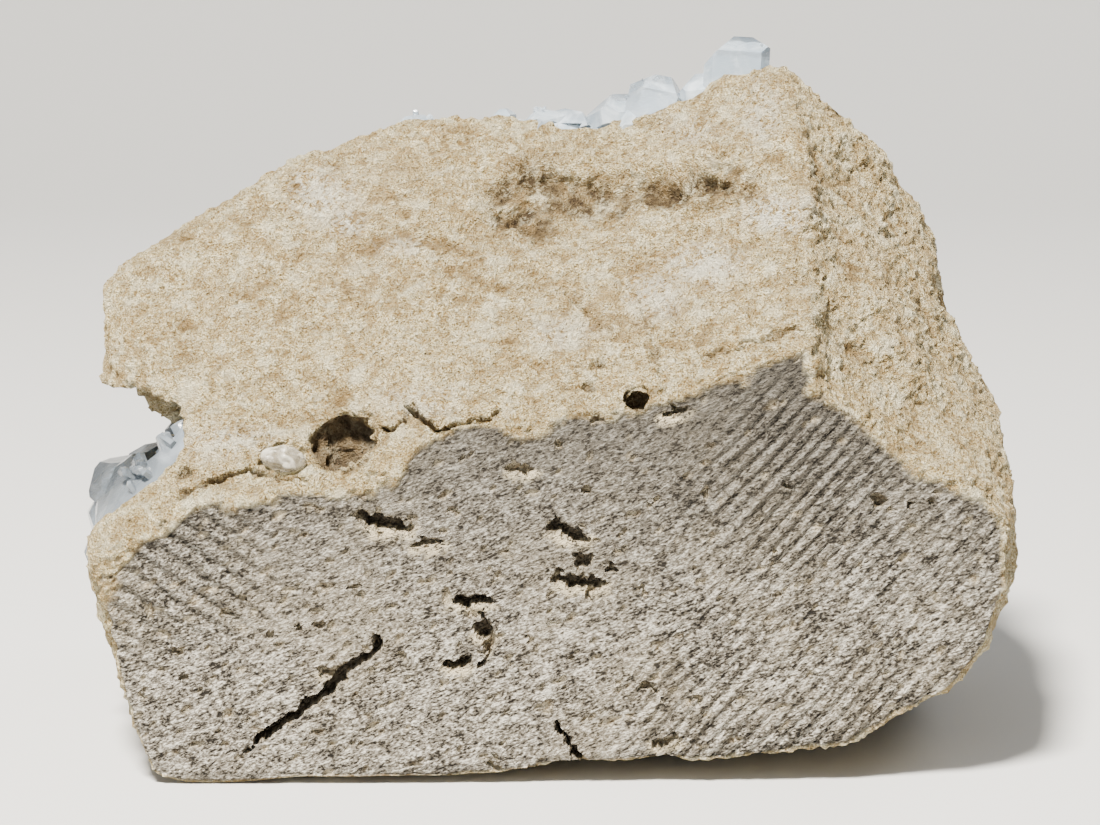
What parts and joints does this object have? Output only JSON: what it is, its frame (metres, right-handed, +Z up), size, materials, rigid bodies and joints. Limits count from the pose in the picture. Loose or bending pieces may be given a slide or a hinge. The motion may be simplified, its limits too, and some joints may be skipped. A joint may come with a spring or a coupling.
{
  "type": "rough celestite specimen",
  "caption": "Block of pale limestone with a flat sawn face, a rough natural rind and a deep hollow lined with blue-grey crystals.",
  "frame": {"origin": "on the flat foot, under the middle of the specimen", "axes": "+Z up, +X to the right along the sawn face, -Y out of the sawn face, so the hollow opens to +Y and up"},
  "size_m": [0.1617, 0.0956, 0.1172],
  "materials": {
    "matrix_stone": "rough",
    "celestite_crust": "clear",
    "lone_crystal": "clear"
  },
  "bodies": {
    "root": {"matrix_stone": "matrix_stone", "celestite_crust": "celestite_crust", "lone_crystal": "lone_crystal"}
  },
  "joints": []
}
